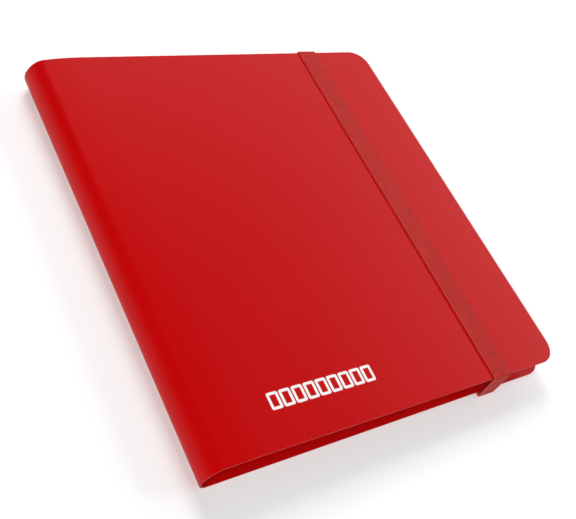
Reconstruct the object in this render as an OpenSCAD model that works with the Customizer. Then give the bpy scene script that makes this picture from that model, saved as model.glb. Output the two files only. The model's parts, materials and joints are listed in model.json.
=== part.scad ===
// Side-loading card binder, closed and lying on its back cover.
// The spine runs along Y, the free edge is at +X and the front cover is up.

/* [Cover] */
// Height of the covers, along the spine
cover_h = 340; // [260:1:420]
// Width of the closed cover, from the outside of the spine to the free edge
cover_w = 324; // [250:1:400]
// Thickness of the cover sheet
sheet_t = 1.4; // [0.8:0.1:2]
// Radius of the covers' corners at the free edge
corner_r = 16; // [4:1:30]
// Thickness of the closed binder at the spine, over both covers
spine_t = 29; // [23:0.2:40]
// Outer radius of the bend between the spine and the back cover
low_bend_r = 8; // [6:0.2:10]
// Outer radius of the bend between the spine and the front cover
high_bend_r = 14; // [11.4:0.2:17]
// Angle by which the front cover slopes down to the free edge, in degrees
slope = 1.45; // [0.2:0.05:1.6]

/* [Pages] */
// Distance of the middle pages' free edges from the free edge of the covers
free_inset = 10.5; // [4:0.5:30]
// Gap between the ends of a page and the ends of the covers
page_recess = 18; // [12:1:30]
// Thickness of a page's middle sheet
core_t = 0.24; // [0.15:0.01:0.3]
// Thickness of the clear film on each face of a page
film_t = 0.13; // [0.08:0.01:0.15]
// Spacing of the pages where they are bound
bind_pitch = 0.85; // [0.7:0.01:1.1]
// How much further each crease stands from the spine, towards the middle of the stack
crease_step = 0.8; // [0.7:0.01:1]
// Half the gap that lets a page turn at its crease
crease_gap = 0.4; // [0.3:0.05:0.8]
// Width of the shortest strip between the binding bar and a crease
margin_w = 0.2; // [0.1:0.1:2]
// Gap between the outermost pages and the covers at the free edge
cover_gap = 0.4; // [0.3:0.05:1]

/* [Pockets] */
// Strip without pockets beside the crease
pocket_margin = 8; // [6:1:20]
// Strip without pockets at the other edges of the page
pocket_border = 2; // [1:0.5:5]
// Width of the weld between two pockets
weld_w = 3; // [2:0.5:5]
// Width of the slit that a card goes in through
slit_w = 1.2; // [0.8:0.1:2]

/* [Binding] */
// Thickness of the front plate of the binding bar
bar_wall = 0.8; // [0.6:0.1:1.2]
// How far the binding bar reaches above and below the outermost pages
bar_over = 0.6; // [0.5:0.1:1]
// Clearance between the binding bar and the rounded spine
bar_clearance = 0.12; // [0.1:0.01:0.3]

/* [Strap] */
// Width of the elastic strap
strap_w = 18; // [10:0.5:25]
// Thickness of the elastic strap
strap_t = 1.4; // [0.6:0.1:1.5]
// Distance of the strap's centre line from the free edge
strap_inset = 65.5; // [30:0.5:120]
// Gap between the strap and the covers
strap_gap = 0.1; // [0.05:0.05:0.3]
// Clearance round the strap in its slot
slot_clearance = 0.25; // [0.1:0.05:0.5]

/* [Strap clips] */
// How far a clip reaches past each edge of the strap
clip_over = 3; // [1.5:0.5:6]
// Width of a clip, along the strap
clip_w = 5; // [3:0.5:8]
// Height of a clip
clip_t = 1.8; // [1.5:0.1:2]
// How far the strap's end reaches into its clip
clip_grip = 1.2; // [0.5:0.1:1.4]
// Gap between a clip and the ends of the pages
clip_gap = 1.5; // [0.5:0.1:3]

/* [Hidden] */
pages = 20;
columns = 4;
rows = 3;

low_centre = [low_bend_r, low_bend_r];
high_centre = [high_bend_r, spine_t - high_bend_r];
front_w = (cover_w - high_bend_r - high_bend_r * sin(slope)) / cos(slope);

page_h = cover_h - 2 * page_recess;
page_t = core_t + 2 * film_t;

// The crease of the first and last page stands clear of the binding bar.
high_bind_z = spine_t / 2 + (pages - 1) / 2 * bind_pitch;
low_bind_z = spine_t / 2 - (pages - 1) / 2 * bind_pitch;
bar_top = high_bind_z + bar_over;
bar_bottom = low_bind_z - bar_over;
bend_inner_r = high_bend_r - sheet_t - bar_clearance;
low_inner_r = low_bend_r - sheet_t - bar_clearance;
high_reach = max(0, bar_top - high_centre[1]);
low_reach = max(0, low_centre[1] - bar_bottom);
bar_back = max(high_bend_r - sqrt(bend_inner_r * bend_inner_r - high_reach * high_reach),
               low_bend_r - sqrt(low_inner_r * low_inner_r - low_reach * low_reach));
bar_front = bar_back + bar_wall;
first_crease = bar_front + margin_w + crease_gap;
page_w = cover_w - free_inset - crease_x(pages / 2);
pocket_w = (page_w - pocket_margin - pocket_border) / columns;
pocket_h = (page_h - 2 * pocket_border) / rows;

strap_x = cover_w - strap_inset;
strap_left = strap_x - strap_w / 2;
slot_y = page_h / 2 + clip_gap + clip_w / 2;
end_y = cover_h / 2 + strap_gap;
riser_top = sheet_t + clip_grip;

// How far page i, counted from 1 at the back cover, is from the nearer cover
function depth(i) = min(i - 1, pages - i);
function crease_x(i) = first_crease + crease_step * depth(i);
function crease_z(i) = low_bind_z + (i - 1) * bind_pitch;

// Height of the front cover's outer face at a distance x from the outside of the spine
function front_z(x) = high_centre[1] + high_bend_r / cos(slope) - (x - high_centre[0]) * tan(slope);

// Height of page i at its free edge, where the stack fills the room between the covers
function free_x(i) = crease_x(i) + page_w;
function lowest_page() = sheet_t + cover_gap + page_t / 2;
function highest_page() = front_z(free_x(1)) - sheet_t / cos(slope) - cover_gap - page_t / 2;
function free_z(i) = lowest_page() + (highest_page() - lowest_page()) * (i - 1) / (pages - 1);
function page_tilt(i) = asin((free_z(i) - crease_z(i)) / page_w);

function two_digits(i) = i < 10 ? str("0", i) : str(i);
function sheet_name(i) = str("page_", two_digits(i), "_sheet");
function pockets_name(i) = str("page_", two_digits(i), "_pockets");

cover_colour = "#c42224";
page_colour = "#17171a";
film_colour = "#cfd6da";
strap_colour = "#b4332f";
steel_colour = "#b9bcc0";

// Places a shape given from the outside of the spine and the underside of the back cover,
// with the middle of the closed binder over the origin and the strap's tails on the floor.
module stand() {
    translate([-cover_w / 2, 0, strap_t]) children();
}

// A profile drawn in X and Z, run along Y over a length centred on the origin
module along_spine(length) {
    rotate([90, 0, 0]) linear_extrude(length, center = true) children();
}

// A flat sheet from x = 0 to width, with rounded corners at its far edge
module cover_outline(width) {
    square_w = width - corner_r;
    translate([0, -cover_h / 2]) square([square_w, cover_h]);
    translate([0, corner_r - cover_h / 2]) square([width, cover_h - 2 * corner_r]);
    for (side = [-1, 1])
        translate([square_w, side * (cover_h / 2 - corner_r)]) circle(corner_r, $fn = 64);
}

// A ring sector of the cover sheet, between two angles
module bend_profile(outer_r, from, to) {
    reach = 2 * outer_r;
    middle = (from + to) / 2;
    intersection() {
        difference() {
            circle(outer_r, $fn = 96);
            circle(outer_r - sheet_t, $fn = 96);
        }
        polygon([[0, 0], reach * [cos(from), sin(from)],
                 reach * [cos(middle), sin(middle)], reach * [cos(to), sin(to)]]);
    }
}

// The frame of the front cover: x along it from the end of the upper bend, z out of the binder
module front_frame() {
    stand() translate([high_centre[0], 0, high_centre[1]]) rotate([0, slope, 0]) children();
}

// The frame of page i: x along it from its crease, z to its upper face
module page_frame(i) {
    stand() translate([crease_x(i), 0, crease_z(i)]) rotate([0, -page_tilt(i), 0]) children();
}

module back_cover() {
    color(cover_colour) stand() difference() {
        linear_extrude(sheet_t) translate([low_bend_r, 0]) cover_outline(cover_w - low_bend_r);
        for (side = [-1, 1])
            translate([strap_x, side * slot_y, sheet_t / 2])
                cube([strap_w + 2 * slot_clearance, strap_t + 2 * slot_clearance, 2 * sheet_t],
                     center = true);
    }
}

module lower_bend() {
    color(cover_colour) stand() along_spine(cover_h)
        translate(low_centre) bend_profile(low_bend_r, 180, 270);
}

module spine_panel() {
    color(cover_colour) stand() translate([0, -cover_h / 2, low_centre[1]])
        cube([sheet_t, cover_h, high_centre[1] - low_centre[1]]);
}

module upper_bend() {
    color(cover_colour) stand() along_spine(cover_h)
        translate(high_centre) bend_profile(high_bend_r, 90 - slope, 180);
}

module front_cover() {
    color(cover_colour) front_frame()
        translate([0, 0, high_bend_r - sheet_t]) linear_extrude(sheet_t) cover_outline(front_w);
}

// The bar is welded to the flat of the spine and carries the pages' margins on its front plate.
module binding_bar() {
    color(page_colour) stand() along_spine(page_h) polygon([
        [sheet_t, low_centre[1]], [bar_back, bar_bottom], [bar_front, bar_bottom],
        [bar_front, bar_top], [bar_back, bar_top], [sheet_t, high_centre[1]]
    ]);
}

// The strips of the pages that stay still, between the bar and the creases
module page_margins() {
    color(page_colour) stand() along_spine(page_h) for (i = [1:pages])
        translate([bar_front, crease_z(i) - core_t / 2])
            square([crease_x(i) - crease_gap - bar_front, core_t]);
}

module page_sheet(i) {
    color(page_colour) page_frame(i) translate([crease_gap, -page_h / 2, -core_t / 2])
        cube([page_w - crease_gap, page_h, core_t]);
}

// One film with a slit at the crease side of every pocket
module pocket_film() {
    difference() {
        translate([pocket_margin, -page_h / 2 + pocket_border, 0])
            cube([columns * pocket_w, rows * pocket_h, film_t]);
        for (c = [0:columns - 1], r = [0:rows - 1])
            translate([pocket_margin + c * pocket_w + weld_w,
                       -page_h / 2 + pocket_border + r * pocket_h + weld_w, -film_t])
                cube([slit_w, pocket_h - 2 * weld_w, 3 * film_t]);
    }
}

module page_pockets(i) {
    color(film_colour) page_frame(i) {
        translate([0, 0, core_t / 2]) pocket_film();
        translate([0, 0, -core_t / 2 - film_t]) pocket_film();
    }
}

module strap_front() {
    color(strap_colour) front_frame()
        translate([0, 0, high_bend_r + strap_gap])
            along_spine(2 * end_y)
                translate([(strap_left - high_centre[0]) / cos(slope) - high_bend_r * tan(slope), 0])
                    square([strap_w / cos(slope), strap_t]);
}

// A leg runs down past the ends of both covers, from the strap's front to its tail.
module strap_leg(side) {
    strap_right = strap_left + strap_w;
    rise = (strap_gap + strap_t) / cos(slope);
    color(strap_colour) stand() translate([0, side * (end_y + strap_t / 2), 0]) along_spine(strap_t)
        polygon([[strap_left, -strap_t], [strap_right, -strap_t],
                 [strap_right, front_z(strap_right) + rise], [strap_left, front_z(strap_left) + rise]]);
}

// A tail runs under the back cover and up through its slot.
module strap_tail(side) {
    riser_y = slot_y - strap_t / 2;
    color(strap_colour) stand() mirror([0, side < 0 ? 1 : 0, 0]) {
        translate([strap_left, riser_y, -strap_t]) cube([strap_w, end_y - riser_y, strap_t - strap_gap]);
        translate([strap_left, riser_y, -strap_gap]) cube([strap_w, strap_t, strap_gap + riser_top]);
    }
}

// A folded steel clip on the end of the strap, wider than the slot
module strap_clip(side) {
    color(steel_colour) stand() translate([strap_x, side * slot_y, sheet_t]) difference() {
        translate([-strap_w / 2 - clip_over, -clip_w / 2, 0])
            cube([strap_w + 2 * clip_over, clip_w, clip_t]);
        translate([-strap_w / 2, -strap_t / 2, -clip_grip]) cube([strap_w, strap_t, 2 * clip_grip]);
    }
}

back_cover();
lower_bend();
spine_panel();
upper_bend();
front_cover();
binding_bar();
page_margins();
for (i = [1:pages]) page_sheet(i);
for (i = [1:pages]) page_pockets(i);
strap_front();
strap_leg(-1);  // strap_leg_bottom
strap_leg(1);  // strap_leg_top
strap_tail(-1);  // strap_tail_bottom
strap_tail(1);  // strap_tail_top
strap_clip(-1);  // strap_clip_bottom
strap_clip(1);  // strap_clip_top
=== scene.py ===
import json
import math

import bmesh
import bpy
from bpy.props import FloatProperty, FloatVectorProperty, IntProperty, PointerProperty
from mathutils import Matrix, Vector


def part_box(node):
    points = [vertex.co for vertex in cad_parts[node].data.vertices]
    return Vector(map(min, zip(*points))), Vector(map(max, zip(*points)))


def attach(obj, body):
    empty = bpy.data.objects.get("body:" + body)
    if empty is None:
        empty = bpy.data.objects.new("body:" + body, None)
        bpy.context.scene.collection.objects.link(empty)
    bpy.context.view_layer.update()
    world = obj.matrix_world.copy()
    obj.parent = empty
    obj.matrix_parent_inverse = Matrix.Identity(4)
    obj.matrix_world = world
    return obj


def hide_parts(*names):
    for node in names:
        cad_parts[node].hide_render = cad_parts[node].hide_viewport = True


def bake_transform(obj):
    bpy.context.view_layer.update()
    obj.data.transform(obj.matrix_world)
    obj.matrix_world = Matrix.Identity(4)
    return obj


bl_info = {
    "name": "Card Binder",
    "version": (1, 0, 0),
    "blender": (4, 5, 0),
    "location": "3D View > Sidebar > Card Binder",
    "description": "Builds a side-loading card binder with an elastic strap, and its stage",
    "category": "Add Mesh",
}

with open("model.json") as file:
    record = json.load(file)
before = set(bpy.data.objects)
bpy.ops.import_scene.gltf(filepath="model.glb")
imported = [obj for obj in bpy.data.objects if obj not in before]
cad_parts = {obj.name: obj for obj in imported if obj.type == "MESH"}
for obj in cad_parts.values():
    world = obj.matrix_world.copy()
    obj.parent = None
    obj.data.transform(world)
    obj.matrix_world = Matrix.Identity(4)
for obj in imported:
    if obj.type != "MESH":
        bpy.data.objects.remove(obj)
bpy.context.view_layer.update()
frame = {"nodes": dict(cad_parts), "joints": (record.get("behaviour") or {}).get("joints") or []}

MM = 0.001
TINY = 0.02 * MM
PAGES = 20

BACK_LO, BACK_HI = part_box("back_cover")
SPINE_LO, SPINE_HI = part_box("spine_panel")
BAR_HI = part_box("binding_bar")[1]
LEG_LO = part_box("strap_leg_top")[0]
TAIL_LO, TAIL_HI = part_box("strap_tail_top")
CLIP_LO, CLIP_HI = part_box("strap_clip_top")
JOINTS = {joint["name"]: joint for joint in frame["joints"]}

SHEET_T = BACK_HI.z - BACK_LO.z
HALF_H = BACK_HI.y
LOW_R = BACK_LO.x - SPINE_LO.x
HIGH_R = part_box("upper_bend")[1].z - SPINE_HI.z
HIGH_CENTRE = Vector((SPINE_LO.x + HIGH_R, 0, SPINE_HI.z))
# The seam between the two cover pieces runs along the middle of the flat spine.
SEAM_Z = (SPINE_LO.z + SPINE_HI.z) / 2
SLOPE = math.radians(JOINTS["cover_fold"]["range_deg"][1] - 90)

STRAP_X = (TAIL_LO.x + TAIL_HI.x) / 2
STRAP_W = TAIL_HI.x - TAIL_LO.x
SLOT_Y = (CLIP_LO.y + CLIP_HI.y) / 2
# The elastic's clearance from the covers, and how far its end goes into a clip.
GAP = 0.1 * MM
CLIP_DEPTH = 1.1 * MM
# How much wider than the elastic its slots are, on each side.
SLOT_CLEARANCE = 0.25 * MM
# The film's clearance from its sheet, how much thinner than its solid it is so that
# the pockets have room to rise, and the width of the slope up to a pocket's flat top.
FILM_GAP = 0.02 * MM
FILM_TRIM = 0.03 * MM
POCKET_SLOPE = 2.2 * MM
# The printed ink's height over the cover, and the air left under it.
INK_T = 0.03 * MM
INK_GAP = 0.004 * MM
# A playing card in millimetres; the mark's step in its cards' widths, and their corner
# radius in their heights.
CARD_W, CARD_H = 63, 88
MARK_PITCH = 1.125
MARK_CORNER = 0.12

# How many steps each curve or run is drawn in.
COVER_CORNER_STEPS = 14
LOWER_BEND_STEPS = 9
RUN_OUT_STEPS = 12
SHOULDER_STEPS = 12
SPINE_STEPS = 10
SMALL_CORNER_STEPS = 5
CREASE_STEPS = 8
FOLD_STEPS = 8
FRONT_STEPS = 12
LEG_STEPS = 6
TAIL_STEPS = 3

# The floor's half width, its height just under the strap, and the room's own light.
FLOOR_HALF = 6
FLOOR_Z = -0.05 * MM
ROOM_LIGHT = 0.004
# The camera's place, and its turn in degrees.
CAMERA_AT = (-0.39932, -0.29661, 0.50781)
CAMERA_TURN = (37.4755, -22.7730, -27.8023)
# Each light's place, aim, width and height, and whether gloss shows it. The first three
# only light: the satin cover's sheen comes from the two low lights and the floor.
LIGHTS = {
    "key": ((0.3, 1.9, 1.6), (0, 0, 0), (1.2, 1.2), False),
    "spine": ((-3.6, -1.8, 3.2), (0, 0, 0), (2.5, 2.5), False),
    "front": ((0.3, -2.2, 2.6), (0, 0, 0), (1.6, 1.2), False),
    "sheen": ((2.209, -0.118, 1.161), (0, 0, 0.03), (2.64, 0.975), True),
    "back": ((0.982, 1.468, 0.938), (0, 0, 0.03), (2.0, 0.8), True),
}


def turned_box(node, origin, angle):
    """A CAD node's lowest and highest corners in a frame at origin, turned about Y by angle."""
    turn = Matrix.Rotation(-angle, 3, "Y")
    points = [turn @ (v.co - origin) for v in frame["nodes"][node].data.vertices]
    return (Vector([min(p[i] for p in points) for i in range(3)]),
            Vector([max(p[i] for p in points) for i in range(3)]))


FRONT_HI = turned_box("front_cover", HIGH_CENTRE, SLOPE)[1]


def leaf_name(number):
    return f"page_{number:02d}"


def leaf_place(number):
    """A leaf's crease and the angle about Y that lays the leaf along the stack."""
    crease = Vector(JOINTS[f"{leaf_name(number)}_turn"]["pos_m"])
    low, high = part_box(f"{leaf_name(number)}_sheet")
    middle = (low + high) / 2 - crease
    return crease, -math.atan2(middle.z, middle.x)


# ---------------- settings


class CoverSettings(bpy.types.PropertyGroup):
    colour: FloatVectorProperty(
        name="Colour", description="Colour of the polypropylene cover sheet",
        subtype="COLOR_GAMMA", size=3, min=0, max=1, default=(0.712, 0.020, 0.028))
    corner_r: FloatProperty(
        name="Corner radius", description="Radius of the corners at the free edge",
        unit="LENGTH", default=16 * MM, min=4 * MM, max=30 * MM)
    edge_round: FloatProperty(
        name="Edge rounding", description="Rounding of the sheet's cut edges",
        unit="LENGTH", default=0.25 * MM, min=0.05 * MM, max=0.6 * MM)
    soft_r: FloatProperty(
        name="Shoulder radius",
        description="Outer radius where the front turns down into the spine",
        unit="LENGTH", default=11.4 * MM, min=8 * MM, max=14 * MM)
    bulge: FloatProperty(
        name="Spine bulge", description="How far the round spine stands out beyond a flat one",
        unit="LENGTH", default=0.8 * MM, min=0, max=1.5 * MM)
    soft_drop: FloatProperty(
        name="Bend drop", description="How far the front lies lower where it meets the bend",
        unit="LENGTH", default=2.0 * MM, min=0.2 * MM, max=3 * MM)
    soft_angle: FloatProperty(
        name="Bend run-out", description="Angle at which the front leaves the bend",
        subtype="ANGLE", default=math.radians(7.6), min=math.radians(2),
        max=math.radians(15))


class LeafSettings(bpy.types.PropertyGroup):
    colour: FloatVectorProperty(
        name="Sheet colour", description="Colour of the leaves' middle sheets",
        subtype="COLOR_GAMMA", size=3, min=0, max=1, default=(0.085, 0.085, 0.095))
    corner_r: FloatProperty(
        name="Corner radius", description="Radius of the leaves' free corners",
        unit="LENGTH", default=3 * MM, min=0.5 * MM, max=8 * MM)
    crease_run: FloatProperty(
        name="Crease run", description="Length over which a leaf bends when it is turned",
        unit="LENGTH", default=7.5 * MM, min=3 * MM, max=7.8 * MM)
    pocket_columns: IntProperty(
        name="Pocket columns", description="Pockets across a leaf", default=4, min=1, max=6)
    pocket_rows: IntProperty(
        name="Pocket rows", description="Pockets up a leaf", default=3, min=1, max=5)
    weld_w: FloatProperty(
        name="Weld width", description="Width of the weld between two pockets",
        unit="LENGTH", default=3 * MM, min=1 * MM, max=5 * MM)
    slit_w: FloatProperty(
        name="Slit width", description="Width of the slit that a card goes in through",
        unit="LENGTH", default=1.2 * MM, min=0.5 * MM, max=3 * MM)
    puff: FloatProperty(
        name="Pocket rise", description="How far a pocket's film stands off its welds",
        unit="LENGTH", default=0.08 * MM, min=0.01 * MM, max=0.12 * MM)


class StrapSettings(bpy.types.PropertyGroup):
    colour: FloatVectorProperty(
        name="Colour", description="Colour of the elastic's yarn",
        subtype="COLOR_GAMMA", size=3, min=0, max=1, default=(0.665, 0.150, 0.135))
    ribs: IntProperty(
        name="Ribs", description="Lengthwise ribs on each face of the elastic",
        default=17, min=5, max=30)
    rib_h: FloatProperty(
        name="Rib height", description="Height of a lengthwise rib",
        unit="LENGTH", default=0.07 * MM, min=0.01 * MM, max=0.2 * MM)
    fold_r: FloatProperty(
        name="Fold radius",
        description="Radius of the elastic's middle where it passes round an edge",
        unit="LENGTH", default=1.1 * MM, min=0.8 * MM, max=3 * MM)
    round_r: FloatProperty(
        name="Selvedge rounding", description="Rounding of the elastic's four long edges",
        unit="LENGTH", default=0.25 * MM, min=0.1 * MM, max=0.6 * MM)
    narrowing: FloatProperty(
        name="Narrowing",
        description="Share of its width that the elastic keeps where it turns under",
        default=0.87, min=0.7, max=1)
    slack: FloatProperty(
        name="Slack", description="How far the elastic stands off the back cover's edge",
        unit="LENGTH", default=2.2 * MM, min=0, max=4 * MM)
    slant: FloatProperty(
        name="Slant", description="How far the elastic runs towards the spine between the covers",
        unit="LENGTH", default=2.6 * MM, min=0, max=5 * MM)


class MarkSettings(bpy.types.PropertyGroup):
    colour: FloatVectorProperty(
        name="Ink", description="Colour of the printed mark",
        subtype="COLOR_GAMMA", size=3, min=0, max=1, default=(0.95, 0.93, 0.92))
    cards: IntProperty(
        name="Cards", description="Card outlines in the mark", default=9, min=1, max=17)
    height: FloatProperty(
        name="Height", description="Height of the mark",
        unit="LENGTH", default=12.4 * MM, min=10 * MM, max=16 * MM)
    line_w: FloatProperty(
        name="Line width", description="Width of a card's outline",
        unit="LENGTH", default=2.0 * MM, min=0.3 * MM, max=2.2 * MM)
    left: FloatProperty(
        name="Left", description="Distance of the mark from the outside of the spine",
        unit="LENGTH", default=58 * MM, min=45 * MM, max=140 * MM)
    bottom: FloatProperty(
        name="Bottom", description="Distance of the mark from the bottom end of the cover",
        unit="LENGTH", default=25.7 * MM, min=10 * MM, max=300 * MM)


class StageSettings(bpy.types.PropertyGroup):
    floor_colour: FloatVectorProperty(
        name="Floor", description="Colour of the floor",
        subtype="COLOR_GAMMA", size=3, min=0, max=1, default=(0.97, 0.97, 0.97))
    lens: FloatProperty(
        name="Lens", description="Focal length on a 36 mm wide sensor, in millimetres",
        default=55.97, min=20, max=200)
    key_power: FloatProperty(
        name="Key light", description="Power of the soft light above the top end, in watts",
        default=33, min=0, max=500)
    spine_power: FloatProperty(
        name="Spine light", description="Power of the large light on the spine's side, in watts",
        default=236, min=0, max=1000)
    front_power: FloatProperty(
        name="Front light", description="Power of the large light at the bottom end, in watts",
        default=12, min=0, max=500)
    sheen_power: FloatProperty(
        name="Sheen light", description="Power of the low light beyond the free edge, in watts",
        default=30.5, min=0, max=100)
    back_power: FloatProperty(
        name="Back light", description="Power of the low light beyond the top end, in watts",
        default=10.4, min=0, max=100)


# ---------------- modelling by hand


def clear_selection():
    """Leaves edit mode with nothing selected."""
    if bpy.context.object and bpy.context.object.mode != "OBJECT":
        done()
    bpy.ops.object.select_all(action="DESELECT")


def start(name, operator, **options):
    """Adds a primitive, light or camera with nothing else selected."""
    clear_selection()
    operator(**options)
    piece = bpy.context.object
    piece.name = name
    piece.data.name = name
    return piece


def only(piece):
    clear_selection()
    piece.select_set(True)
    bpy.context.view_layer.objects.active = piece


def edit(piece):
    """Enters edit mode with the whole mesh selected."""
    only(piece)
    bpy.ops.object.mode_set(mode="EDIT")
    bpy.ops.mesh.select_all(action="SELECT")


def done():
    bpy.ops.object.mode_set(mode="OBJECT")


def apply_place():
    """Moves the selected piece's place, turn and scale into its mesh."""
    bpy.ops.object.transform_apply(location=True, rotation=True, scale=True)


def settle(piece, location, turn):
    """Moves the piece and turns it about Y, and leaves its object at the origin."""
    only(piece)
    piece.location = location
    piece.rotation_euler = (0, turn, 0)
    apply_place()


def add_plane(name, x0, x1, y0, y1, z=0.0):
    piece = start(name, bpy.ops.mesh.primitive_plane_add, size=1.0)
    piece.scale = (x1 - x0, y1 - y0, 1)
    piece.location = ((x0 + x1) / 2, (y0 + y1) / 2, z)
    apply_place()
    return piece


def pick(piece, test, kind="VERT"):
    """In edit mode, selects only the points, edges or faces that lie wholly within a test."""
    bpy.ops.mesh.select_all(action="DESELECT")
    bpy.ops.mesh.select_mode(type=kind)
    mesh = bmesh.from_edit_mesh(piece.data)
    for item in {"VERT": mesh.verts, "EDGE": mesh.edges, "FACE": mesh.faces}[kind]:
        points = [item.co] if kind == "VERT" else [v.co for v in item.verts]
        if all(test(p) for p in points):
            item.select_set(True)
    bmesh.update_edit_mesh(piece.data)


def within(x0, x1, y0, y1):
    """A test that keeps the points inside a rectangle."""
    return lambda p: x0 - TINY < p.x < x1 + TINY and y0 - TINY < p.y < y1 + TINY


def near_x(x):
    """A test that keeps the points in one row across X."""
    return lambda p: abs(p.x - x) < TINY


def cut(axis, *places):
    """Cuts the whole mesh across an axis at each place."""
    normal = [float(axis == name) for name in "XYZ"]
    for place in places:
        bpy.ops.mesh.select_all(action="SELECT")
        bpy.ops.mesh.bisect(plane_co=[place * n for n in normal], plane_no=normal)


def pull(x=0.0, y=0.0, z=0.0):
    bpy.ops.mesh.extrude_region_move(TRANSFORM_OT_translate={"value": (x, y, z)})


def shift(x=0.0, y=0.0, z=0.0):
    bpy.ops.transform.translate(value=(x, y, z))


def swing(angle, centre, axis, steps):
    """Extrudes the selection round an axis, right-handed."""
    bpy.ops.mesh.spin(steps=steps, angle=-angle, center=centre, axis=axis)


def merge_doubles():
    bpy.ops.mesh.select_all(action="SELECT")
    bpy.ops.mesh.remove_doubles(threshold=TINY / 4)


def flip_faces(piece):
    """Turns a mirrored piece's faces outwards again."""
    edit(piece)
    bpy.ops.mesh.flip_normals()
    done()


def tilt(angle, axis, centre):
    """Turns the selection about a main axis, right-handed."""
    bpy.ops.transform.rotate(value=-angle, orient_axis=axis, orient_type="GLOBAL",
                             center_override=centre)


def squeeze(share, middle_x):
    """Scales the selection across X about a place."""
    bpy.ops.transform.resize(value=(share, 1, 1), center_override=(middle_x, 0, 0))


def face_outwards(piece, outside):
    """Turns an open sheet's faces so that, by area, they point to the side that outside counts."""
    bpy.ops.mesh.select_all(action="SELECT")
    bpy.ops.mesh.normals_make_consistent(inside=False)
    mesh = bmesh.from_edit_mesh(piece.data)
    if sum(outside(f) * f.calc_area() for f in mesh.faces) < 0:
        bpy.ops.mesh.flip_normals()


def apply_modifier(piece, kind, **settings):
    only(piece)
    modifier = piece.modifiers.new(kind.title(), kind)
    for key, value in settings.items():
        setattr(modifier, key, value)
    bpy.ops.object.modifier_apply(modifier=modifier.name)


def give_thickness(piece, thickness, offset):
    apply_modifier(piece, "SOLIDIFY", thickness=thickness, offset=offset, use_even_offset=True)


def round_edges(piece, width, keep=lambda p: False, sharpness=50):
    """Bevels the sharp edges, apart from those that lie wholly within keep."""
    edit(piece)
    bpy.ops.mesh.select_all(action="DESELECT")
    bpy.ops.mesh.select_mode(type="EDGE")
    bpy.ops.mesh.edges_select_sharp(sharpness=math.radians(sharpness))
    mesh = bmesh.from_edit_mesh(piece.data)
    for edge in mesh.edges:
        if edge.select and all(keep(v.co) for v in edge.verts):
            edge.select_set(False)
    bmesh.update_edit_mesh(piece.data)
    bpy.ops.mesh.bevel(offset=width, segments=2, affect="EDGES", clamp_overlap=True)
    done()


def finish_surface(piece):
    """Smooth shading in which large flat faces stay flat."""
    only(piece)
    bpy.ops.object.shade_smooth_by_angle(angle=math.radians(35))
    apply_modifier(piece, "WEIGHTED_NORMAL", mode="FACE_AREA", weight=100, keep_sharp=True)


def copy_of(piece, name):
    only(piece)
    bpy.ops.object.duplicate(linked=False)
    made = bpy.context.object
    made.name = name
    made.data.name = name
    return made


def wear(piece, *materials):
    piece.data.materials.clear()
    for material in materials:
        piece.data.materials.append(material)


# ---------------- materials


def linear(colour):
    """An sRGB hex value, or three sRGB shares, as linear RGBA."""
    if isinstance(colour, str):
        colour = [int(colour[i:i + 2], 16) / 255 for i in (1, 3, 5)]
    return [c / 12.92 if c <= 0.04045 else ((c + 0.055) / 1.055) ** 2.4 for c in colour] + [1.0]


def darker(colour, share):
    return [c * share for c in colour]


def add_node(tree, kind, sockets=None, **settings):
    """Adds a node, sets it, and gives its sockets their values or links."""
    node = tree.nodes.new(kind)
    for key, value in settings.items():
        setattr(node, key, value)
    for socket, value in (sockets or {}).items():
        if isinstance(value, bpy.types.NodeSocket):
            tree.links.new(value, node.inputs[socket])
        else:
            node.inputs[socket].default_value = value
    return node


def new_material(name):
    """A material, its nodes, and the place on the object, in metres, that its patterns read."""
    material = bpy.data.materials.new(name)
    material.use_nodes = True
    tree = material.node_tree
    tree.nodes.clear()
    return material, tree, add_node(tree, "ShaderNodeTexCoord").outputs["Object"]


def close_material(material, shader):
    add_node(material.node_tree, "ShaderNodeOutputMaterial", {"Surface": shader.outputs["BSDF"]})
    return material


def per_size(millimetres):
    """The scale that gives a noise or wave on Object coordinates that size."""
    return 1 / (millimetres * MM)


def extruded_polypropylene_satin(colour):
    """Extruded polypropylene sheet, pressed between satin rolls: an even colour with a soft sheen,
    faint flow bands, and a grain that breaks up reflections."""
    material, tree, place = new_material("polypropylene_extruded_satin")
    # Melt flow leaves pale and deep clouds a hand wide.
    flow = add_node(tree, "ShaderNodeTexNoise",
                    {"Vector": place, "Scale": per_size(90), "Detail": 2.0, "Roughness": 0.5})
    # The roll's grain is 0.2 mm, and is drawn at 0.8 mm to show.
    grain = add_node(tree, "ShaderNodeTexNoise",
                     {"Vector": place, "Scale": per_size(0.8), "Detail": 3.0, "Roughness": 0.6})
    tint = add_node(tree, "ShaderNodeMixRGB",
                    {"Fac": flow.outputs["Fac"], "Color1": linear(darker(colour, 0.975)),
                     "Color2": linear(colour)})
    speck = add_node(tree, "ShaderNodeMapRange",
                     {"Value": grain.outputs["Fac"], "From Min": 0.3, "From Max": 0.7,
                      "To Min": 0.97, "To Max": 1.0})
    shade = add_node(tree, "ShaderNodeHueSaturation",
                     {"Color": tint.outputs["Color"], "Value": speck.outputs["Result"]})
    gloss = add_node(tree, "ShaderNodeMapRange",
                     {"Value": flow.outputs["Fac"], "From Min": 0.3, "From Max": 0.7,
                      "To Min": 0.39, "To Max": 0.41})
    bump = add_node(tree, "ShaderNodeBump",
                    {"Strength": 0.03, "Distance": 0.05 * MM, "Height": grain.outputs["Fac"]})
    shader = add_node(tree, "ShaderNodeBsdfPrincipled",
                      {"Base Color": shade.outputs["Color"], "Roughness": gloss.outputs["Result"],
                       "Normal": bump.outputs["Normal"], "IOR": 1.49, "Specular IOR Level": 0.12})
    return close_material(material, shader)


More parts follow.
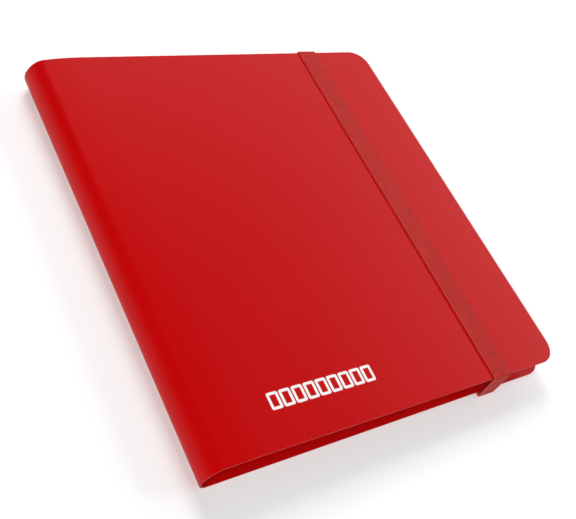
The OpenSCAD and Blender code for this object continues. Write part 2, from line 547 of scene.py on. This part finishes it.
def embossed_polypropylene_matt(colour):
    """Black polypropylene sheet with a fine sand emboss: nearly no gloss, and a pale bloom
    on the grain."""
    material, tree, place = new_material("polypropylene_embossed_matt")
    sand = add_node(tree, "ShaderNodeTexNoise",
                    {"Vector": place, "Scale": per_size(1.2), "Detail": 4.0, "Roughness": 0.65})
    tint = add_node(tree, "ShaderNodeMixRGB",
                    {"Fac": sand.outputs["Fac"], "Color1": linear(darker(colour, 0.75)),
                     "Color2": linear(colour)})
    gloss = add_node(tree, "ShaderNodeMapRange",
                     {"Value": sand.outputs["Fac"], "To Min": 0.5, "To Max": 0.7})
    bump = add_node(tree, "ShaderNodeBump",
                    {"Strength": 0.3, "Distance": 0.06 * MM, "Height": sand.outputs["Fac"]})
    shader = add_node(tree, "ShaderNodeBsdfPrincipled",
                      {"Base Color": tint.outputs["Color"], "Roughness": gloss.outputs["Result"],
                       "Normal": bump.outputs["Normal"], "IOR": 1.49})
    return close_material(material, shader)


def cast_polypropylene_film_clear():
    """Clear cast polypropylene film: a bright thin gloss, with slow waves where it isn't
    stretched tight."""
    material, tree, place = new_material("polypropylene_cast_film_clear")
    waves = add_node(tree, "ShaderNodeTexNoise",
                     {"Vector": place, "Scale": per_size(38), "Detail": 1.5, "Roughness": 0.4})
    tint = add_node(tree, "ShaderNodeMixRGB",
                    {"Fac": waves.outputs["Fac"], "Color1": linear("#9ba3aa"),
                     "Color2": linear("#b9c0c6")})
    bump = add_node(tree, "ShaderNodeBump",
                    {"Strength": 0.35, "Distance": 0.8 * MM, "Height": waves.outputs["Fac"]})
    shader = add_node(tree, "ShaderNodeBsdfPrincipled",
                      {"Base Color": tint.outputs["Color"], "Roughness": 0.14, "IOR": 1.49,
                       "Alpha": 0.11, "Normal": bump.outputs["Normal"]})
    return close_material(material, shader)


def welded_polypropylene_film(colour):
    """Film fused to the sheet by a ribbed sealing bar: the sheet's black, glossier, in fine
    slanting ribs."""
    material, tree, place = new_material("polypropylene_film_welded")
    # The bar's ribs lie 1.2 mm apart, at 45 degrees to the welds.
    ribs = add_node(tree, "ShaderNodeTexWave",
                    {"Vector": place, "Scale": per_size(1.2) / math.tau, "Distortion": 0.3},
                    wave_type="BANDS", bands_direction="DIAGONAL")
    tint = add_node(tree, "ShaderNodeMixRGB",
                    {"Fac": ribs.outputs["Fac"], "Color1": linear(darker(colour, 0.6)),
                     "Color2": linear(colour)})
    bump = add_node(tree, "ShaderNodeBump",
                    {"Strength": 0.4, "Distance": 0.1 * MM, "Height": ribs.outputs["Fac"]})
    shader = add_node(tree, "ShaderNodeBsdfPrincipled",
                      {"Base Color": tint.outputs["Color"], "Roughness": 0.3,
                       "Normal": bump.outputs["Normal"], "IOR": 1.49})
    return close_material(material, shader)


def woven_elastic(colour):
    """Woven elastic: textured yarn over rubber, with crosswise picks, a dry surface and worn,
    mottled dye."""
    material, tree, place = new_material("elastic_woven_polyester")
    # U runs across the band and V along it, both in millimetres.
    along = add_node(tree, "ShaderNodeUVMap", uv_map="band").outputs["UV"]
    parts = add_node(tree, "ShaderNodeSeparateXYZ", {"Vector": along})
    # Picks lie 1.1 mm apart.
    picks = add_node(tree, "ShaderNodeMath",
                     {0: parts.outputs["Y"], 1: math.tau / 1.1}, operation="MULTIPLY")
    wave = add_node(tree, "ShaderNodeMath", {0: picks.outputs["Value"]}, operation="SINE")
    yarn = add_node(tree, "ShaderNodeTexNoise",
                    {"Vector": place, "Scale": per_size(0.9), "Detail": 3.0, "Roughness": 0.7})
    mottle = add_node(tree, "ShaderNodeTexNoise",
                      {"Vector": place, "Scale": per_size(7), "Detail": 4.0, "Roughness": 0.6})
    tint = add_node(tree, "ShaderNodeValToRGB", {"Fac": mottle.outputs["Fac"]})
    tint.color_ramp.elements[0].position = 0.36
    tint.color_ramp.elements[0].color = linear(darker(colour, 0.96))
    tint.color_ramp.elements[1].position = 0.66
    tint.color_ramp.elements[1].color = linear([min(1, c * 1.03 + 0.005) for c in colour])
    thread = add_node(tree, "ShaderNodeMapRange",
                      {"Value": yarn.outputs["Fac"], "From Min": 0.3, "From Max": 0.7,
                       "To Min": 0.88, "To Max": 1.08})
    # The selvedges are painted paler than the faces: a painted highlight for the bright line where
    # light catches the band's long edges.
    half_w = STRAP_W / MM / 2
    across = add_node(tree, "ShaderNodeMath", {0: parts.outputs["X"]}, operation="ABSOLUTE")
    side = add_node(tree, "ShaderNodeMapRange",
                    {"Value": across.outputs["Value"], "From Min": half_w - 0.2,
                     "From Max": half_w - 0.1, "To Max": 0.75})
    # Mixes in the painted highlight along both selvedges.
    selvedge_highlight = add_node(tree, "ShaderNodeMixRGB",
                     {"Fac": side.outputs["Result"], "Color1": tint.outputs["Color"],
                      "Color2": linear("#c9504a")})
    shade = add_node(tree, "ShaderNodeHueSaturation",
                     {"Color": selvedge_highlight.outputs["Color"], "Value": thread.outputs["Result"]})
    height = add_node(tree, "ShaderNodeMath",
                      {0: wave.outputs["Value"], 1: 0.35, 2: yarn.outputs["Fac"]},
                      operation="MULTIPLY_ADD")
    bump = add_node(tree, "ShaderNodeBump",
                    {"Strength": 0.6, "Distance": 0.12 * MM, "Height": height.outputs["Value"]})
    shader = add_node(tree, "ShaderNodeBsdfPrincipled",
                      {"Base Color": shade.outputs["Color"], "Roughness": 0.75,
                       "Normal": bump.outputs["Normal"], "Specular IOR Level": 0.2,
                       "Sheen Weight": 0.08, "Sheen Roughness": 0.4,
                       "Sheen Tint": linear("#f0a49c")})
    return close_material(material, shader)


def cold_rolled_steel_nickelled():
    """Cold-rolled steel strip with a thin nickel plate: a grey mirror, blurred along the
    rolling direction."""
    material, tree, place = new_material("steel_cold_rolled_nickelled")
    rolled = add_node(tree, "ShaderNodeMapping", {"Vector": place, "Scale": (0.06, 1, 1)})
    lines = add_node(tree, "ShaderNodeTexNoise",
                     {"Vector": rolled.outputs["Vector"], "Scale": per_size(0.35), "Detail": 3.0})
    tint = add_node(tree, "ShaderNodeMixRGB",
                    {"Fac": lines.outputs["Fac"], "Color1": linear("#a9a8a4"),
                     "Color2": linear("#c9c7c1")})
    gloss = add_node(tree, "ShaderNodeMapRange",
                     {"Value": lines.outputs["Fac"], "To Min": 0.22, "To Max": 0.4})
    bump = add_node(tree, "ShaderNodeBump",
                    {"Strength": 0.2, "Distance": 0.02 * MM, "Height": lines.outputs["Fac"]})
    shader = add_node(tree, "ShaderNodeBsdfPrincipled",
                      {"Base Color": tint.outputs["Color"], "Metallic": 1.0,
                       "Roughness": gloss.outputs["Result"], "Normal": bump.outputs["Normal"]})
    return close_material(material, shader)


def screen_printed_ink(colour):
    """White screen-printing ink on plastic: opaque and dry, with the mesh's faint unevenness."""
    material, tree, place = new_material("ink_screen_printed")
    mesh = add_node(tree, "ShaderNodeTexNoise",
                    {"Vector": place, "Scale": per_size(0.7), "Detail": 2.0, "Roughness": 0.6})
    tint = add_node(tree, "ShaderNodeMixRGB",
                    {"Fac": mesh.outputs["Fac"], "Color1": linear(darker(colour, 0.94)),
                     "Color2": linear(colour)})
    bump = add_node(tree, "ShaderNodeBump",
                    {"Strength": 0.2, "Distance": 0.02 * MM, "Height": mesh.outputs["Fac"]})
    shader = add_node(tree, "ShaderNodeBsdfPrincipled",
                      {"Base Color": tint.outputs["Color"], "Roughness": 0.5,
                       "Normal": bump.outputs["Normal"]})
    return close_material(material, shader)


def matt_paper(colour):
    """Matt studio paper: a pale surface with barely visible fibre clouds."""
    material, tree, place = new_material("paper_matt_white")
    fibre = add_node(tree, "ShaderNodeTexNoise",
                     {"Vector": place, "Scale": per_size(200), "Detail": 3.0})
    tint = add_node(tree, "ShaderNodeMixRGB",
                    {"Fac": fibre.outputs["Fac"], "Color1": linear(darker(colour, 0.99)),
                     "Color2": linear(colour)})
    shader = add_node(tree, "ShaderNodeBsdfPrincipled",
                      {"Base Color": tint.outputs["Color"], "Roughness": 0.9,
                       "Specular IOR Level": 0.1})
    return close_material(material, shader)


def shared(build, *values):
    """The material that build makes, made once."""
    if build.__name__ not in shared.made:
        shared.made[build.__name__] = build(*values)
    return shared.made[build.__name__]


shared.made = {}


# ---------------- covers


class BINDER_OT_back_cover(bpy.types.Operator):
    """Models the back half of the cover sheet, from the middle of the spine to the free edge"""

    bl_idname = "card_binder.back_cover"
    bl_label = "Back cover"

    def execute(self, context):
        cover = context.scene.binder_cover
        slot_x = (TAIL_LO.x - SLOT_CLEARANCE, TAIL_HI.x + SLOT_CLEARANCE)
        slot_half = (TAIL_HI.z - TAIL_LO.z) / 2 + SLOT_CLEARANCE
        piece = add_plane("cover_back", BACK_LO.x, BACK_HI.x, -HALF_H, HALF_H, BACK_LO.z)
        edit(piece)
        pick(piece, lambda p: p.x > BACK_HI.x - TINY)
        bpy.ops.mesh.bevel(offset=cover.corner_r, segments=COVER_CORNER_STEPS,
                           affect="VERTICES")
        cut("X", *slot_x)
        cut("Y", *[side * SLOT_Y + edge * slot_half for side in (-1, 1) for edge in (-1, 1)])
        for side in (-1, 1):
            slot_y = side * SLOT_Y
            pick(piece, within(*slot_x, slot_y - slot_half, slot_y + slot_half), "FACE")
            bpy.ops.mesh.delete(type="FACE")
        pick(piece, lambda p: p.x < BACK_LO.x + TINY, "EDGE")
        # The bend tightens towards the back cover: two arcs of an eighth of a turn each.
        wide, high, share = LOW_R + cover.bulge, SEAM_Z - BACK_LO.z, math.sqrt(0.5)
        tight_r = (wide * share - high * (1 - share)) / (2 * share - 1)
        loose_r = (high * share - wide * (1 - share)) / (2 * share - 1)
        first = Vector((BACK_LO.x, 0, BACK_LO.z + tight_r))
        second = first + Vector((share, 0, share)) * (loose_r - tight_r)
        swing(math.pi / 4, first, (0, 1, 0), LOWER_BEND_STEPS)
        swing(math.pi / 4, second, (0, 1, 0), LOWER_BEND_STEPS)
        merge_doubles()
        face_outwards(piece, lambda f: -f.normal.z)
        done()
        give_thickness(piece, SHEET_T, -1)
        round_edges(piece, cover.edge_round, keep=lambda p: p.z > SEAM_Z - TINY)
        finish_surface(piece)
        wear(piece, shared(extruded_polypropylene_satin, cover.colour))
        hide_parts("back_cover", "lower_bend", "spine_panel")
        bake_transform(piece)
        return {"FINISHED"}


class BINDER_OT_front_cover(bpy.types.Operator):
    """Models the front half of the cover sheet, from the middle of the spine to the free edge"""

    bl_idname = "card_binder.front_cover"
    bl_label = "Front cover"

    def execute(self, context):
        cover = context.scene.binder_cover
        shoulder, drop, angle = cover.soft_r, cover.soft_drop, cover.soft_angle
        run = 2 * drop / math.tan(angle)
        lowered = FRONT_HI.z - drop
        # Two arcs follow the run-out: the shoulder to half a right angle, then the spine's
        # looser round.
        share, lead = math.sqrt(0.5), math.cos(angle - SLOPE)
        loose_r = (HIGH_CENTRE.z + lowered - SEAM_Z - shoulder * (lead - share)) / share
        start_x = (SPINE_LO.x - cover.bulge + loose_r * (1 - share)
                   + shoulder * (share - math.sin(angle - SLOPE)))
        # In the front's own frame the bend meets the front at begin, so that it ends upright
        # on the spine.
        begin = (start_x - HIGH_CENTRE.x - lowered * math.sin(SLOPE)) / math.cos(SLOPE)
        first = Vector((begin + shoulder * math.sin(angle), 0,
                        lowered - shoulder * math.cos(angle)))
        half = math.pi / 4 + SLOPE
        second = first - Vector((-math.sin(half), 0, math.cos(half))) * (loose_r - shoulder)
        piece = add_plane("cover_front", begin, FRONT_HI.x, -HALF_H, HALF_H, FRONT_HI.z)
        edit(piece)
        pick(piece, lambda p: p.x > FRONT_HI.x - TINY)
        bpy.ops.mesh.bevel(offset=cover.corner_r, segments=COVER_CORNER_STEPS,
                           affect="VERTICES")
        places = [begin + run * i / RUN_OUT_STEPS for i in range(1, RUN_OUT_STEPS + 1)]
        cut("X", *places)
        for place in [begin, *places[:-1]]:
            pick(piece, near_x(place))
            shift(z=-drop * (1 - (place - begin) / run) ** 2)
        pick(piece, lambda p: p.x < begin + TINY, "EDGE")
        swing(angle - half, first, (0, 1, 0), SHOULDER_STEPS)
        swing(-math.pi / 4, second, (0, 1, 0), SPINE_STEPS)
        done()
        settle(piece, HIGH_CENTRE, SLOPE)
        # The last row goes exactly to the seam.
        edit(piece)
        spine_end = SPINE_LO.x + LOW_R
        points = [v.co for v in bmesh.from_edit_mesh(piece.data).verts]
        low = min(p.z for p in points if p.x < spine_end)
        pick(piece, lambda p: p.z < low + TINY and p.x < spine_end)
        shift(z=SEAM_Z - low)
        merge_doubles()
        face_outwards(piece, lambda f: f.normal.z)
        done()
        give_thickness(piece, SHEET_T, -1)
        round_edges(piece, cover.edge_round, keep=lambda p: p.z < SEAM_Z + TINY)
        finish_surface(piece)
        wear(piece, shared(extruded_polypropylene_satin, cover.colour))
        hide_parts("front_cover", "upper_bend", "spine_panel")
        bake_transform(piece)
        return {"FINISHED"}


class BINDER_OT_mark(bpy.types.Operator):
    """Models the printed mark low on the front cover: a row of plain card outlines"""

    bl_idname = "card_binder.mark"
    bl_label = "Printed mark"

    def execute(self, context):
        mark = context.scene.binder_mark
        card_w = mark.height * CARD_W / CARD_H
        pitch = card_w * MARK_PITCH
        x0 = (SPINE_LO.x + mark.left - HIGH_CENTRE.x) / math.cos(SLOPE)
        y0 = -HALF_H + mark.bottom
        piece = add_plane("front_mark", x0, x0 + card_w, y0, y0 + mark.height,
                          FRONT_HI.z + INK_T)
        edit(piece)
        bpy.ops.mesh.bevel(offset=mark.height * MARK_CORNER, segments=SMALL_CORNER_STEPS,
                           affect="VERTICES")
        bpy.ops.mesh.select_all(action="SELECT")
        bpy.ops.mesh.inset(thickness=mark.line_w, depth=0)
        bpy.ops.mesh.delete(type="FACE")
        done()
        apply_modifier(piece, "ARRAY", count=mark.cards, use_relative_offset=False,
                       use_constant_offset=True, constant_offset_displace=(pitch, 0, 0))
        give_thickness(piece, INK_T - INK_GAP, -1)
        finish_surface(piece)
        settle(piece, HIGH_CENTRE, SLOPE)
        wear(piece, shared(screen_printed_ink, mark.colour))
        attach(piece, "front")
        return {"FINISHED"}


# ---------------- leaves


class BINDER_OT_leaves(bpy.types.Operator):
    """Models the leaves: a middle sheet each, with a film of pockets on both faces"""

    bl_idname = "card_binder.leaves"
    bl_label = "Leaves and pockets"

    def execute(self, context):
        leaf = context.scene.binder_leaf
        crease, turn = leaf_place(1)
        sheet_lo, sheet_hi = turned_box("page_01_sheet", crease, turn)
        film_lo, film_hi = turned_box("page_01_pockets", crease, turn)
        core_t = sheet_hi.z - sheet_lo.z
        film_t = film_hi.z - sheet_hi.z

        sheet = add_plane("leaf", 0, sheet_hi.x, sheet_lo.y, sheet_hi.y)
        edit(sheet)
        pick(sheet, lambda p: p.x > sheet_hi.x - TINY)
        bpy.ops.mesh.bevel(offset=leaf.corner_r, segments=SMALL_CORNER_STEPS, affect="VERTICES")
        cut("X", *[leaf.crease_run * i / CREASE_STEPS for i in range(1, CREASE_STEPS + 1)])
        done()

        film = add_plane("film", film_lo.x, film_hi.x, film_lo.y, film_hi.y)
        wide = (film_hi.x - film_lo.x) / leaf.pocket_columns
        high = (film_hi.y - film_lo.y) / leaf.pocket_rows
        lefts = [film_lo.x + wide * i for i in range(leaf.pocket_columns)]
        bottoms = [film_lo.y + high * i for i in range(leaf.pocket_rows)]
        # Each pocket has a weld on its left, the slit beside it, and welds below and above.
        weld, slit = leaf.weld_w, leaf.weld_w + leaf.slit_w
        edit(film)
        cut("X", *[x + step for x in lefts for step in (weld, slit)], *lefts[1:])
        cut("Y", *[y + step for y in bottoms for step in (weld, high - weld)])
        for x in lefts:
            for y in bottoms:
                span = (y + weld, y + high - weld)
                pick(film, within(x + weld, x + slit, *span), "FACE")
                bpy.ops.mesh.delete(type="FACE")
                pick(film, within(x + slit, x + wide, *span), "FACE")
                bpy.ops.mesh.inset(thickness=POCKET_SLOPE, depth=leaf.puff)
        face_outwards(film, lambda f: f.normal.z)
        wear(film, shared(cast_polypropylene_film_clear),
             shared(welded_polypropylene_film, leaf.colour))
        pick(film, lambda p: abs(p.z) < leaf.puff / 4, "FACE")
        film.active_material_index = 1
        bpy.ops.object.material_slot_assign()
        done()
        give_thickness(film, film_t - FILM_TRIM, 1)
        finish_surface(film)

        black = shared(embossed_polypropylene_matt, leaf.colour)
        for number in range(1, PAGES + 1):
            body = leaf_name(number)
            crease, turn = leaf_place(number)
            one = copy_of(sheet, f"leaf_{number:02d}")
            settle(one, crease, turn)
            edit(one)
            pick(one, lambda p: p.x < crease.x + TINY, "EDGE")
            pull(x=BAR_HI.x - crease.x)
            face_outwards(one, lambda f: f.normal.z)
            done()
            give_thickness(one, core_t, 0)
            finish_surface(one)
            wear(one, black)
            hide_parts(f"{body}_sheet", "page_margins")
            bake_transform(one)
            for side, up in (("front", 1), ("back", -1)):
                pocket = copy_of(film, f"pockets_{number:02d}_{side}")
                pocket.location.z = up * (core_t / 2 + FILM_GAP)
                pocket.scale.z = up
                apply_place()
                if up < 0:
                    flip_faces(pocket)
                settle(pocket, crease, turn)
                if up > 0:
                    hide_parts(f"{body}_pockets")
                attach(pocket, body)
        bpy.data.objects.remove(sheet)
        bpy.data.objects.remove(film)
        return {"FINISHED"}


class BINDER_OT_binding_bar(bpy.types.Operator):
    """Models the bar inside the spine that holds the leaves"""

    bl_idname = "card_binder.binding_bar"
    bl_label = "Binding bar"

    def execute(self, context):
        piece = copy_of(frame["nodes"]["binding_bar"], "bar")
        piece.parent = None
        for key in [k for k in piece.keys() if k.startswith("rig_")]:
            del piece[key]
        edit(piece)
        merge_doubles()
        bpy.ops.mesh.select_all(action="SELECT")
        bpy.ops.mesh.dissolve_limited(angle_limit=math.radians(2))
        # The shoulder of the soft cover comes lower than a hard bend, and the bar's top corner
        # clears it.
        trim_x, trim_z, edge_r = 0.6 * MM, 0.3 * MM, 0.2 * MM
        pick(piece, lambda p: p.z > BAR_HI.z - TINY)
        shift(z=-trim_z)
        pick(piece, lambda p: p.z > BAR_HI.z - trim_z - TINY and p.x < BAR_HI.x - TINY)
        shift(x=trim_x)
        done()
        round_edges(piece, edge_r, sharpness=20)
        finish_surface(piece)
        wear(piece, shared(embossed_polypropylene_matt, context.scene.binder_leaf.colour))
        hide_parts("binding_bar")
        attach(piece, "spine")
        return {"FINISHED"}


# ---------------- strap


class BINDER_OT_strap(bpy.types.Operator):
    """Models the elastic strap as one band, from clip to clip"""

    bl_idname = "card_binder.strap"
    bl_label = "Elastic strap"

    def execute(self, context):
        strap = context.scene.binder_strap
        # The elastic just clears the covers that it lies on.
        thick = BACK_LO.z - TAIL_LO.z - GAP
        radius = strap.fold_r
        front_z = (HIGH_CENTRE.z - (STRAP_X - HIGH_CENTRE.x) * math.tan(SLOPE)
                   + HIGH_R / math.cos(SLOPE))
        top_z = front_z + GAP + thick / 2
        leg_y = LEG_LO.y + thick / 2
        tail_z = TAIL_LO.z + thick / 2
        end_z = CLIP_LO.z + CLIP_DEPTH
        # The cross-section: rounded selvedges, with ribs on both faces.
        piece = add_plane("strap_band", STRAP_X - STRAP_W / 2, STRAP_X + STRAP_W / 2,
                          top_z - thick / 2, top_z + thick / 2)
        edit(piece)
        bpy.ops.mesh.bevel(offset=strap.round_r, segments=3, affect="VERTICES")
        for face in (-1, 1):
            def on_face(p):
                return face * (p.y - top_z) > thick / 2 - TINY

            pick(piece, on_face, "EDGE")
            bpy.ops.mesh.subdivide(number_cuts=2 * strap.ribs - 1)
            points = [v.co for v in bmesh.from_edit_mesh(piece.data).verts]
            row = sorted(p.x for p in points if on_face(p))
            valleys = row[2:-2:2]
            pick(piece, lambda p: on_face(p) and any(near_x(x)(p) for x in valleys))
            shift(y=-face * strap.rib_h)
        done()
        # Stand the section up across the middle of the front, and lay it on the slope.
        only(piece)
        piece.rotation_euler = (math.pi / 2, 0, 0)
        apply_place()
        edit(piece)
        tilt(SLOPE, "Y", (STRAP_X, 0, top_z))
        for _ in range(FRONT_STEPS):
            pull(y=(leg_y - radius) / FRONT_STEPS)
        fold = -math.pi / 2
        swing(fold, (0, leg_y - radius, top_z - radius), (1, 0, 0), FOLD_STEPS)
        # Between the covers it hangs a little slack, leans towards the spine and narrows.
        low_y = leg_y + strap.slack
        for step in range(LEG_STEPS):
            pull(x=-strap.slant / LEG_STEPS, y=strap.slack / LEG_STEPS,
                 z=-(top_z - tail_z - 2 * radius) / LEG_STEPS)
            squeeze(strap.narrowing ** (1 / LEG_STEPS),
                    STRAP_X - strap.slant * (step + 1) / LEG_STEPS)
            if step == 0:
                tilt(SLOPE, "Z", (STRAP_X, leg_y, 0))
        swing(fold, (0, low_y - radius, tail_z + radius), (1, 0, 0), FOLD_STEPS)
        # Under the back cover it comes back in line and to its full width.
        for step in range(TAIL_STEPS):
            pull(x=strap.slant / TAIL_STEPS, y=-(low_y - SLOT_Y - 2 * radius) / TAIL_STEPS)
            squeeze(strap.narrowing ** (-1 / TAIL_STEPS),
                    STRAP_X - strap.slant * (TAIL_STEPS - 1 - step) / TAIL_STEPS)
        swing(fold, (0, SLOT_Y + radius, tail_z + radius), (1, 0, 0), FOLD_STEPS)
        pull(z=end_z - tail_z - radius)
        pick(piece, lambda p: abs(p.y) < TINY, "FACE")
        bpy.ops.mesh.delete(type="FACE")
        done()
        apply_modifier(piece, "MIRROR", use_axis=(False, True, False), merge_threshold=TINY)
        edit(piece)
        bpy.ops.mesh.normals_make_consistent(inside=False)
        done()
        self.lay_uv(piece, [(0, top_z), (leg_y, top_z), (low_y, tail_z), (SLOT_Y, tail_z),
                            (SLOT_Y, end_z)])
        only(piece)
        bpy.ops.object.shade_smooth_by_angle(angle=math.radians(40))
        wear(piece, shared(woven_elastic, strap.colour))
        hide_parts("strap_front", "strap_leg_bottom", "strap_leg_top",
                    "strap_tail_bottom", "strap_tail_top")
        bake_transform(piece)
        return {"FINISHED"}

    def lay_uv(self, piece, path):
        """Gives the band a UV map in millimetres: U runs across it, and V along it from the
        middle of the front."""
        lengths = [0.0]
        for a, b in zip(path, path[1:]):
            lengths.append(lengths[-1] + math.dist(a, b))
        layer = piece.data.uv_layers.new(name="band")
        for loop in piece.data.loops:
            co = piece.data.vertices[loop.vertex_index].co
            here, best = (abs(co.y), co.z), None
            for a, b, base in zip(path, path[1:], lengths):
                span = math.dist(a, b)
                along = sum((here[i] - a[i]) * (b[i] - a[i]) for i in (0, 1)) / span
                along = min(span, max(0.0, along))
                at = [a[i] + (b[i] - a[i]) * along / span for i in (0, 1)]
                if best is None or math.dist(here, at) < best[0]:
                    best = (math.dist(here, at), base + along)
            v = math.copysign(best[1], co.y)
            layer.data[loop.index].uv = ((co.x - STRAP_X) / MM, v / MM)


class BINDER_OT_strap_clips(bpy.types.Operator):
    """Models the folded steel clips on the strap's ends"""

    bl_idname = "card_binder.strap_clips"
    bl_label = "Strap clips"

    def execute(self, context):
        size = CLIP_HI - CLIP_LO
        fold_r, wall, mouth_depth, edge_r = 0.9 * MM, 1.6 * MM, 1.0 * MM, 0.12 * MM
        clip = start("clip", bpy.ops.mesh.primitive_cube_add, size=1.0)
        clip.scale = size
        clip.location = (CLIP_LO + CLIP_HI) / 2
        apply_place()
        edit(clip)
        # The strip is folded along its length, and its open side faces down round the strap's
        # end. Of the top's edges, only the two long ones are rounded.
        pick(clip, lambda p: p.z > CLIP_HI.z - TINY, "EDGE")
        mesh = bmesh.from_edit_mesh(clip.data)
        for edge in mesh.edges:
            if edge.select and abs(edge.verts[0].co.x - edge.verts[1].co.x) < TINY:
                edge.select_set(False)
        bmesh.update_edit_mesh(clip.data)
        bpy.ops.mesh.bevel(offset=fold_r, segments=6, affect="EDGES")
        # Three crimps press the fold together. Each has a flat floor half as long as its mouth.
        crimp_half, crimp_depth = 1.3 * MM, 0.35 * MM
        crimps = [STRAP_X + place * size.x for place in (-0.3, 0.0, 0.3)]
        for middle in crimps:
            cut("X", *[middle + edge * crimp_half for edge in (-1, -0.5, 0.5, 1)])
        for middle in crimps:
            pick(clip, lambda p: abs(p.x - middle) < crimp_half / 2 + TINY
                 and p.z > CLIP_HI.z - TINY)
            shift(z=-crimp_depth)
        pick(clip, lambda p: p.z < CLIP_LO.z + TINY, "FACE")
        bpy.ops.mesh.dissolve_faces()
        bpy.ops.mesh.inset(thickness=wall, depth=0)
        pull(z=mouth_depth)
        bpy.ops.mesh.select_all(action="SELECT")
        bpy.ops.mesh.normals_make_consistent(inside=False)
        done()
        round_edges(clip, edge_r, sharpness=60)
        finish_surface(clip)
        wear(clip, shared(cold_rolled_steel_nickelled))
        for name, side in (("bottom", -1), ("top", 1)):
            piece = copy_of(clip, f"clip_{name}")
            piece.scale.y = side
            apply_place()
            if side < 0:
                flip_faces(piece)
            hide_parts(f"strap_clip_{name}")
            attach(piece, "back")
        bpy.data.objects.remove(clip)
        return {"FINISHED"}


# ---------------- stage


class BINDER_OT_stage(bpy.types.Operator):
    """Sets the pale floor, the soft lights and the camera"""

    bl_idname = "card_binder.stage"
    bl_label = "Stage"

    def execute(self, context):
        scene = context.scene
        stage = scene.binder_stage
        floor = add_plane("floor", -FLOOR_HALF, FLOOR_HALF, -FLOOR_HALF, FLOOR_HALF, FLOOR_Z)
        edit(floor)
        bpy.ops.mesh.subdivide(number_cuts=3)
        done()
        wear(floor, shared(matt_paper, stage.floor_colour))

        for name, (place, aim, size, glossy) in LIGHTS.items():
            light = start(f"{name}_light", bpy.ops.object.light_add, type="AREA", location=place)
            light.data.shape = "RECTANGLE"
            light.data.size, light.data.size_y = size
            light.data.energy = getattr(stage, f"{name}_power")
            light.visible_glossy = glossy
            direction = Vector(aim) - Vector(place)
            light.rotation_euler = direction.to_track_quat("-Z", "Y").to_euler()

        world = bpy.data.worlds.new("soft_room")
        world.use_nodes = True
        back = world.node_tree.nodes["Background"]
        back.inputs["Color"].default_value = linear("#ffffff")
        back.inputs["Strength"].default_value = ROOM_LIGHT
        scene.world = world
        scene.view_settings.view_transform = "Standard"

        camera = start("camera", bpy.ops.object.camera_add, location=CAMERA_AT,
                       rotation=[math.radians(angle) for angle in CAMERA_TURN])
        camera.data.sensor_width = 36
        camera.data.lens = stage.lens
        camera.data.clip_start = 0.01
        scene.camera = camera
        return {"FINISHED"}


OPERATORS = (BINDER_OT_back_cover, BINDER_OT_front_cover, BINDER_OT_mark, BINDER_OT_binding_bar,
             BINDER_OT_leaves, BINDER_OT_strap, BINDER_OT_strap_clips, BINDER_OT_stage)


class VIEW3D_PT_card_binder(bpy.types.Panel):
    """Lists the binder's settings and the steps that build it"""

    bl_label = "Card Binder"
    bl_idname = "VIEW3D_PT_card_binder"
    bl_space_type = "VIEW_3D"
    bl_region_type = "UI"
    bl_category = "Card Binder"

    def draw(self, context):
        for title, name in SETTINGS.items():
            box = self.layout.box()
            box.label(text=title)
            settings = getattr(context.scene, name)
            for key in settings.__annotations__:
                box.prop(settings, key)
        column = self.layout.column(align=True)
        for operator in OPERATORS:
            column.operator(operator.bl_idname)


SETTINGS = {"Cover": "binder_cover", "Leaves": "binder_leaf", "Strap": "binder_strap",
            "Mark": "binder_mark", "Stage": "binder_stage"}
GROUPS = (CoverSettings, LeafSettings, StrapSettings, MarkSettings, StageSettings)


def register():
    for group in GROUPS + OPERATORS + (VIEW3D_PT_card_binder,):
        bpy.utils.register_class(group)
    for group, name in zip(GROUPS, SETTINGS.values()):
        setattr(bpy.types.Scene, name, PointerProperty(type=group))


def unregister():
    for name in SETTINGS.values():
        delattr(bpy.types.Scene, name)
    for group in reversed(GROUPS + OPERATORS + (VIEW3D_PT_card_binder,)):
        bpy.utils.unregister_class(group)


def main():
    register()
    bpy.ops.card_binder.back_cover()
    bpy.ops.card_binder.front_cover()
    bpy.ops.card_binder.mark()
    bpy.ops.card_binder.binding_bar()
    bpy.ops.card_binder.leaves()
    bpy.ops.card_binder.strap()
    bpy.ops.card_binder.strap_clips()
    bpy.ops.card_binder.stage()


if __name__ == "__main__":
    main()
